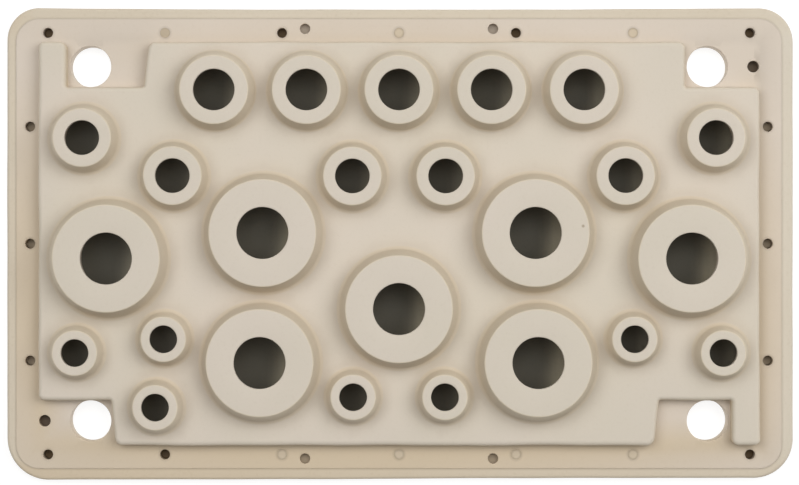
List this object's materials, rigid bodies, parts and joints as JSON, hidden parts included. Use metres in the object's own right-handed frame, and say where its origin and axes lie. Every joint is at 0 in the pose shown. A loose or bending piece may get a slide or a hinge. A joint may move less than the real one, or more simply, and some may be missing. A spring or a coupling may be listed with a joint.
{
  "type": "cable entry plate",
  "caption": "Flat rectangular plate with corner fixing holes and a raised soft mat of round stepped nipples in several sizes, which seal cables passing through a panel.",
  "frame": {"origin": "centre of the plate in plan, on the sealing ring's back face", "axes": "+X along the plate's length, +Y across it towards the row of five equal entries, +Z out of the front through the nipples"},
  "size_m": [0.2316, 0.1388, 0.017],
  "materials": {
    "frame": "fine moulded matte plastic, warm pebble grey",
    "sealing_ring": "soft matte elastomer, warm pebble grey",
    "nipple_mat": "soft matte elastomer with a velvety surface, warm pebble grey",
    "sealing_sheet": "dark grey matte elastomer"
  },
  "bodies": {
    "root": {"frame": "frame", "sealing_ring": "sealing_ring", "nipple_mat": "nipple_mat", "sealing_sheet": "sealing_sheet"}
  },
  "joints": []
}
